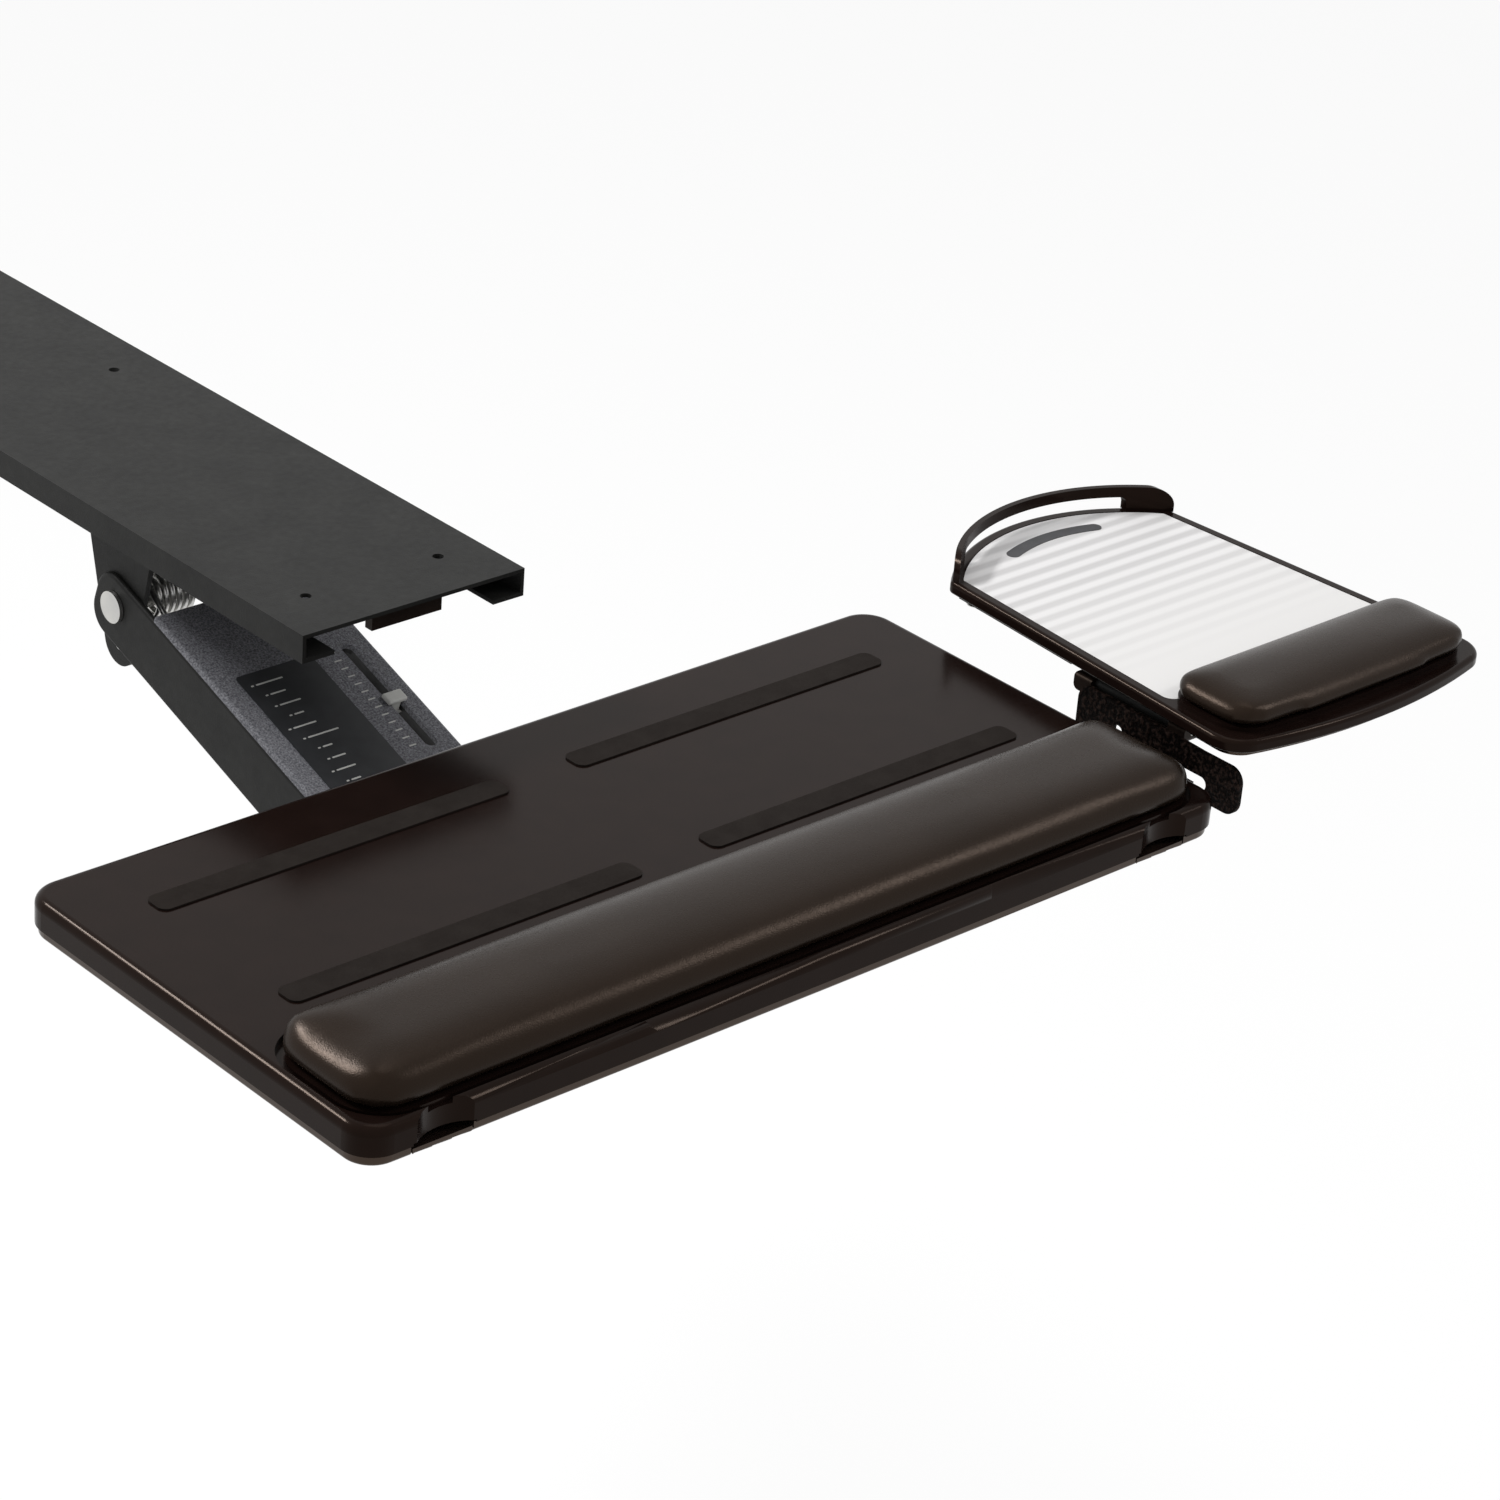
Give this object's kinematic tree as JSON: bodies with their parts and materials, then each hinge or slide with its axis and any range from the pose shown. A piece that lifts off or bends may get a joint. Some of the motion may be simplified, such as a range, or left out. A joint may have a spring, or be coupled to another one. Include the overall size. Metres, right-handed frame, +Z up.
{
  "type": "under-desk keyboard tray with mouse platform",
  "caption": "Sliding under-desk keyboard tray on a swivelling lift arm, with padded palm rests and a raised, fenced mouse platform at its right side.",
  "frame": {"origin": "centre of the track's screw pattern, on the top face that meets the desk's underside", "axes": "+X to the user's right, +Y away from the user along the track, +Z up"},
  "size_m": [0.6784, 0.857, 0.1606],
  "materials": {
    "black_steel": "fine powder coat",
    "black_plastic": "fine texture",
    "grey_plastic": "pebbled",
    "white_plastic": "satin",
    "zinc_steel": "zinc plated",
    "black_rubber": "matt",
    "black_leather": "fine grain",
    "light_surface": "fine matt"
  },
  "bodies": {
    "track": {"track_channel": "black_steel", "track_stops": "black_plastic"},
    "carriage": {"carriage_plate": "zinc_steel", "track_glides": "black_plastic", "swivel_bearing": "black_plastic"},
    "yoke": {"swivel_post": "zinc_steel", "swivel_nut": "zinc_steel", "base_yoke": "black_steel", "rear_arm_pin": "zinc_steel", "rear_link_pin": "zinc_steel", "lift_springs": "zinc_steel"},
    "arm": {"arm_channel": "black_steel", "arm_cover": "grey_plastic", "cover_label": "grey_plastic"},
    "gauge": {"gauge_pointer": "white_plastic"},
    "link": {"lower_link": "black_steel"},
    "head": {"head_bracket": "black_steel", "front_arm_pin": "zinc_steel", "front_link_pin": "zinc_steel", "tilt_pin": "zinc_steel", "tilt_spacer": "black_plastic"},
    "tray": {"tray_shell": "black_plastic", "tray_pan": "black_plastic", "pan_screws": "zinc_steel", "tray_bracket": "black_steel", "bracket_screws": "zinc_steel", "grip_strips": "black_rubber", "palm_rest_base": "black_plastic", "palm_rest_cushion": "black_leather", "lever_pins": "zinc_steel"},
    "lever_left": {"finger_lever_left": "black_plastic"},
    "lever_right": {"finger_lever_right": "black_plastic"},
    "rod_left": {"release_rod_left": "zinc_steel", "brake_shoe_left": "black_plastic"},
    "rod_right": {"release_rod_right": "zinc_steel", "brake_shoe_right": "black_plastic"},
    "mouse_slide": {"mouse_bracket": "black_steel", "hinge_block": "black_plastic", "hinge_pin": "zinc_steel"},
    "knob": {"slide_lock_knob": "black_plastic"},
    "tilt_arm": {"tilt_plate": "black_steel", "platform_post": "zinc_steel"},
    "platform": {"platform_top": "black_plastic", "platform_base": "black_plastic", "platform_screws": "zinc_steel", "mousing_surface": "light_surface", "surface_badge": "grey_plastic", "mouse_fence": "black_plastic", "mouse_rest_base": "black_plastic", "mouse_rest_cushion": "black_leather"}
  },
  "joints": [
    {"name": "carriage_slide", "type": "slide", "parent": "track", "child": "carriage", "axis": [0, 1, 0], "range_m": [-0.115, 0.325]},
    {"name": "arm_swivel", "type": "hinge", "parent": "carriage", "child": "yoke", "pos_m": [0, -0.106, -0.02], "axis": [0, 0, 1], "continuous": true},
    {"name": "arm_lift", "type": "hinge", "parent": "yoke", "child": "arm", "pos_m": [0, -0.1202, -0.06], "axis": [1, 0, 0], "range_deg": [-22, 18]},
    {"name": "link_swing", "type": "hinge", "parent": "yoke", "child": "link", "pos_m": [0, -0.1202, -0.08], "axis": [1, 0, 0], "range_deg": [-22, 18]},
    {"name": "head_level", "type": "hinge", "parent": "arm", "child": "head", "pos_m": [0, -0.32397, -0.12858], "axis": [1, 0, 0], "range_deg": [-18, 22]},
    {"name": "gauge_slide", "type": "slide", "parent": "arm", "child": "gauge", "axis": [0, 0.9478, 0.319], "range_m": [-0.028, 0.034]},
    {"name": "tray_tilt", "type": "hinge", "parent": "head", "child": "tray", "pos_m": [0, -0.35197, -0.10198], "axis": [1, 0, 0], "range_deg": [-15, 15]},
    {"name": "squeeze_left", "type": "hinge", "parent": "tray", "child": "lever_left", "pos_m": [-0.1884, -0.53247, -0.07898], "axis": [-1, 0, 0], "range_deg": [0, 8], "stiffness_Nm_per_rad": 0.05, "springref_deg": -2.86},
    {"name": "squeeze_right", "type": "hinge", "parent": "tray", "child": "lever_right", "pos_m": [0.2258, -0.53247, -0.07898], "axis": [-1, 0, 0], "range_deg": [0, 8], "stiffness_Nm_per_rad": 0.05, "springref_deg": -2.86},
    {"name": "rod_push_left", "type": "slide", "parent": "tray", "child": "rod_left", "axis": [0, 1, 0], "range_m": [0, 0.00103]},
    {"name": "rod_push_right", "type": "slide", "parent": "tray", "child": "rod_right", "axis": [0, 1, 0], "range_m": [0, 0.00103]},
    {"name": "mouse_slide_out", "type": "slide", "parent": "tray", "child": "mouse_slide", "axis": [1, 0, 0], "range_m": [0, 0.06]},
    {"name": "knob_turn", "type": "hinge", "parent": "tray", "child": "knob", "pos_m": [0.2202, -0.49647, -0.08258], "axis": [0, 0, 1], "continuous": true},
    {"name": "platform_tilt", "type": "hinge", "parent": "mouse_slide", "child": "tilt_arm", "pos_m": [0.2852, -0.47947, -0.05368], "axis": [0, 1, 0], "range_deg": [-10, 10]},
    {"name": "platform_swivel", "type": "hinge", "parent": "tilt_arm", "child": "platform", "pos_m": [0.3332, -0.47947, -0.05018], "axis": [0, 0, 1], "range_deg": [-3, 15]}
  ],
  "couplings": [
    {"joint": "link_swing", "follows": "arm_lift", "ratio": 1},
    {"joint": "head_level", "follows": "arm_lift", "ratio": -1},
    {"joint": "gauge_slide", "follows": "arm_lift", "m_per_rad": -0.085},
    {"joint": "rod_push_left", "follows": "squeeze_left", "m_per_rad": 0.007},
    {"joint": "rod_push_right", "follows": "squeeze_right", "m_per_rad": 0.007}
  ]
}
